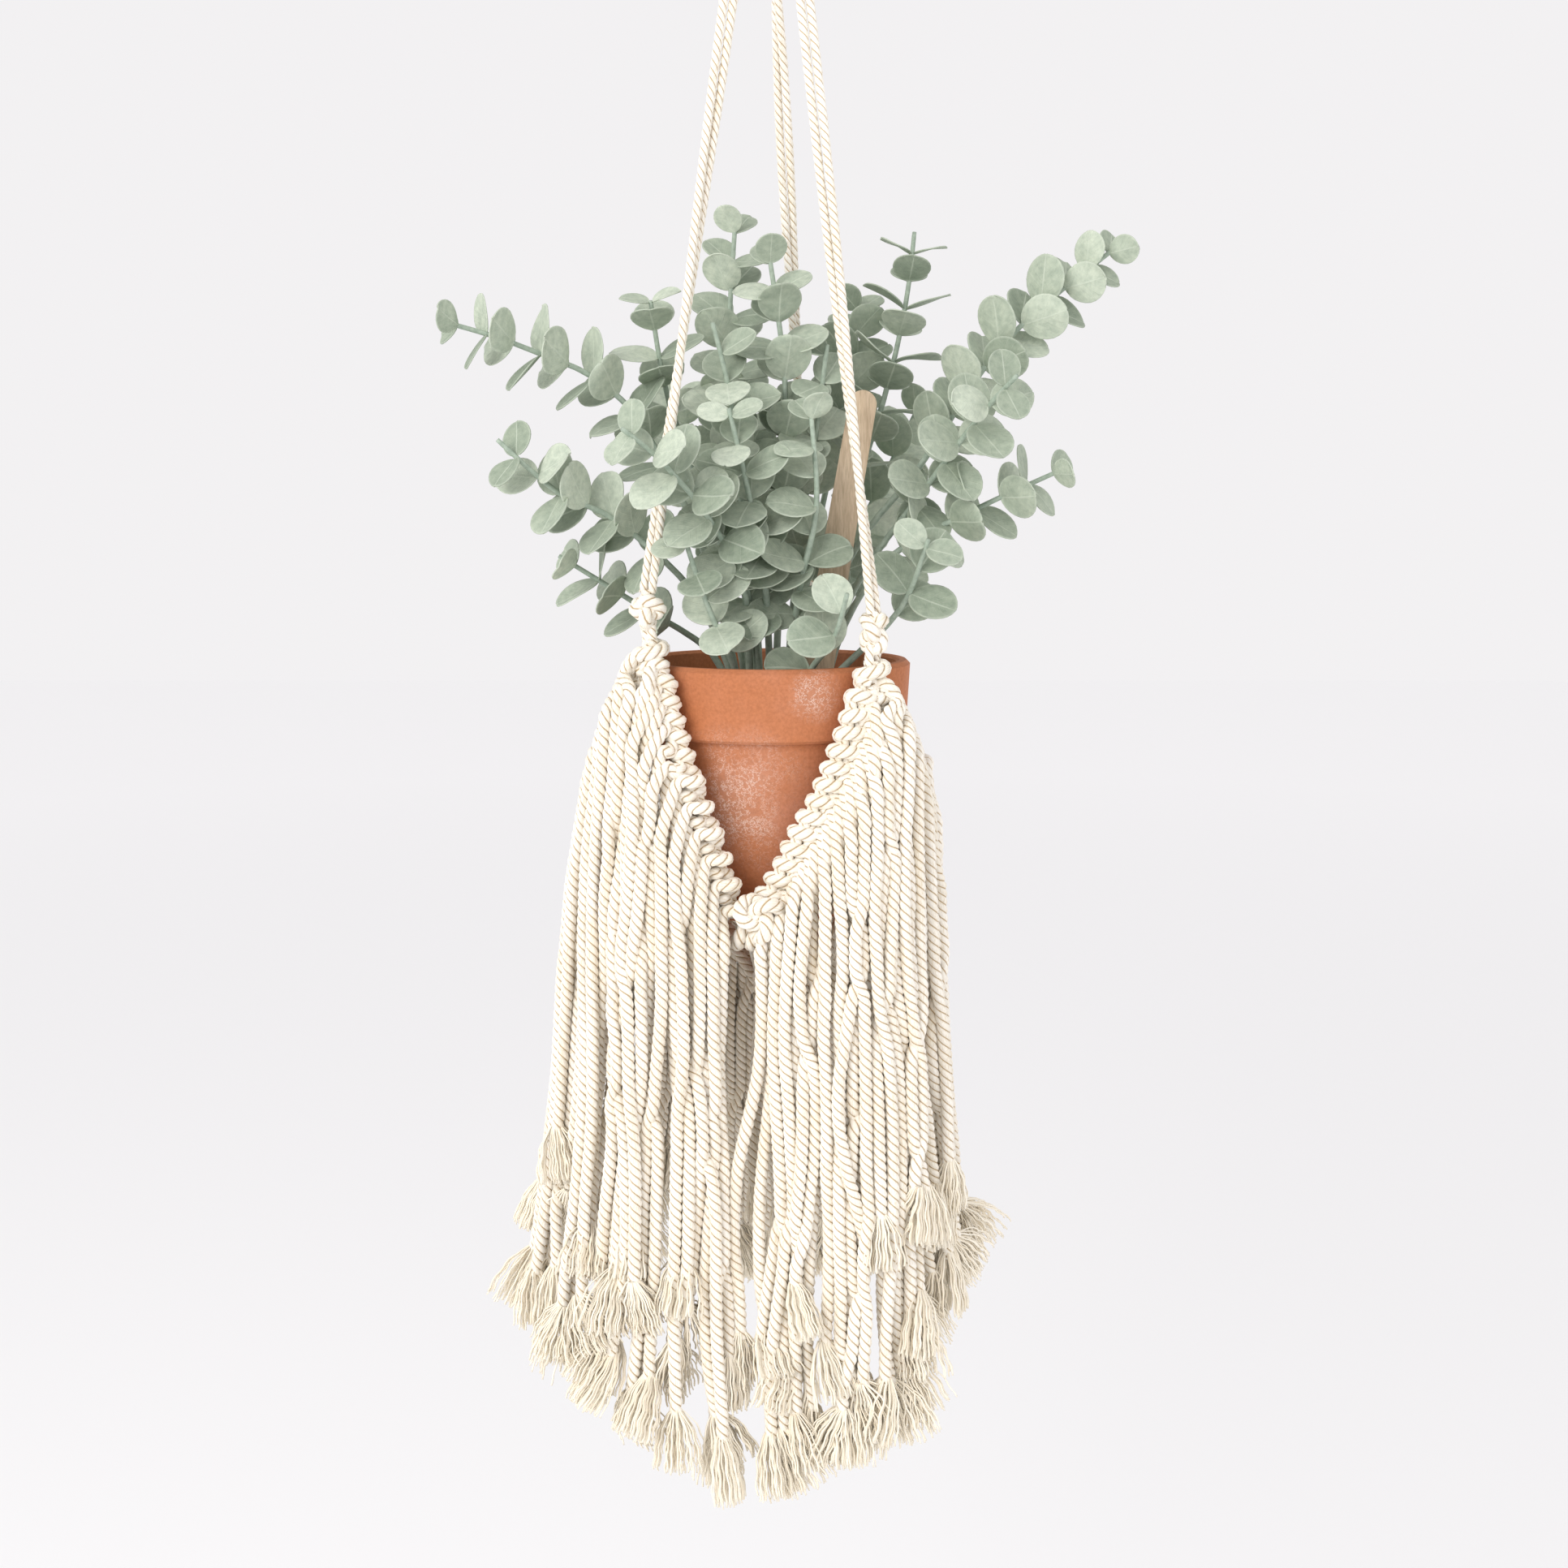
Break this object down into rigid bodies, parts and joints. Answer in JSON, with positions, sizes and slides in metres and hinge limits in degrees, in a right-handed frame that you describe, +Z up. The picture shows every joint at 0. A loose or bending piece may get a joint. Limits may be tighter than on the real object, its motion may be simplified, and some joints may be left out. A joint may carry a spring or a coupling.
{
  "type": "hanging planter",
  "caption": "Knotted cotton rope hanger with a long frayed fringe, holding a terracotta pot of artificial eucalyptus and a wooden plant stick.",
  "frame": {"origin": "the point inside the top of the hanging ring where a hook bears", "axes": "+Z up through the ring and down the middle of the pot, +X to the planter's right as seen from its front, and the front faces -Y"},
  "size_m": [0.2452, 0.1578, 0.6914],
  "materials": {
    "ring_wood": "sanded",
    "stick_wood": "sanded",
    "cotton_rope": "matte twisted cotton",
    "terracotta": "unglazed",
    "soil": "crumbly",
    "leaves": "matte"
  },
  "bodies": {
    "ring": {"hanging_ring": "ring_wood"},
    "folds": {"rope_folds": "cotton_rope", "gathering_wrap": "cotton_rope"},
    "hanger": {"left_rope_pair": "cotton_rope", "right_rope_pair": "cotton_rope", "back_rope_pair": "cotton_rope", "left_shoulder_knot": "cotton_rope", "right_shoulder_knot": "cotton_rope", "back_shoulder_knot": "cotton_rope", "left_neck": "cotton_rope", "right_neck": "cotton_rope", "back_neck": "cotton_rope", "left_crown": "cotton_rope", "right_crown": "cotton_rope", "back_crown": "cotton_rope", "left_front_band": "cotton_rope", "right_front_band": "cotton_rope", "right_side_band": "cotton_rope", "back_right_band": "cotton_rope", "back_left_band": "cotton_rope", "left_side_band": "cotton_rope", "front_v_knot": "cotton_rope", "right_v_knot": "cotton_rope", "left_v_knot": "cotton_rope", "front_sling": "cotton_rope", "right_sling": "cotton_rope", "left_sling": "cotton_rope", "base_knot": "cotton_rope", "base_tails": "cotton_rope", "left_front_fringe": "cotton_rope", "right_front_fringe": "cotton_rope", "right_side_fringe": "cotton_rope", "back_right_fringe": "cotton_rope", "back_left_fringe": "cotton_rope", "left_side_fringe": "cotton_rope"},
    "pot": {"terracotta_pot": "terracotta", "potting_soil": "soil", "sprig_far_left": "leaves", "sprig_upper_left": "leaves", "sprig_mid_left": "leaves", "sprig_low_left": "leaves", "sprig_left_rosette": "leaves", "sprig_top_back": "leaves", "sprig_top_front": "leaves", "sprig_tall_right": "leaves", "sprig_back_tuft": "leaves", "sprig_far_right": "leaves", "sprig_right_rosette": "leaves", "sprig_low_right": "leaves", "sprig_right_knot_tuft": "leaves", "sprig_front_low_left": "leaves", "sprig_front_mid_left": "leaves", "sprig_front_centre": "leaves", "sprig_front_right": "leaves", "sprig_front_low_right": "leaves", "sprig_centre_left": "leaves", "sprig_centre_right": "leaves", "sprig_back_left": "leaves", "sprig_back_right": "leaves"},
    "stick": {"plant_stick": "stick_wood"}
  },
  "joints": [
    {"name": "ring_sway", "type": "hinge", "parent": "ring", "child": "folds", "pos_m": [0, 0, -0.014], "axis": [0, 1, 0], "range_deg": [-15, 15]},
    {"name": "rope_swing", "type": "hinge", "parent": "folds", "child": "hanger", "pos_m": [0, 0, -0.0793], "axis": [1, 0, 0], "range_deg": [-12, 12]},
    {"name": "pot_lift", "type": "slide", "parent": "hanger", "child": "pot", "axis": [0, 0, 1], "range_m": [0, 0.02]},
    {"name": "stick_pull", "type": "slide", "parent": "pot", "child": "stick", "axis": [0.1624, -0.108, 0.9808], "range_m": [0, 0.05]}
  ]
}
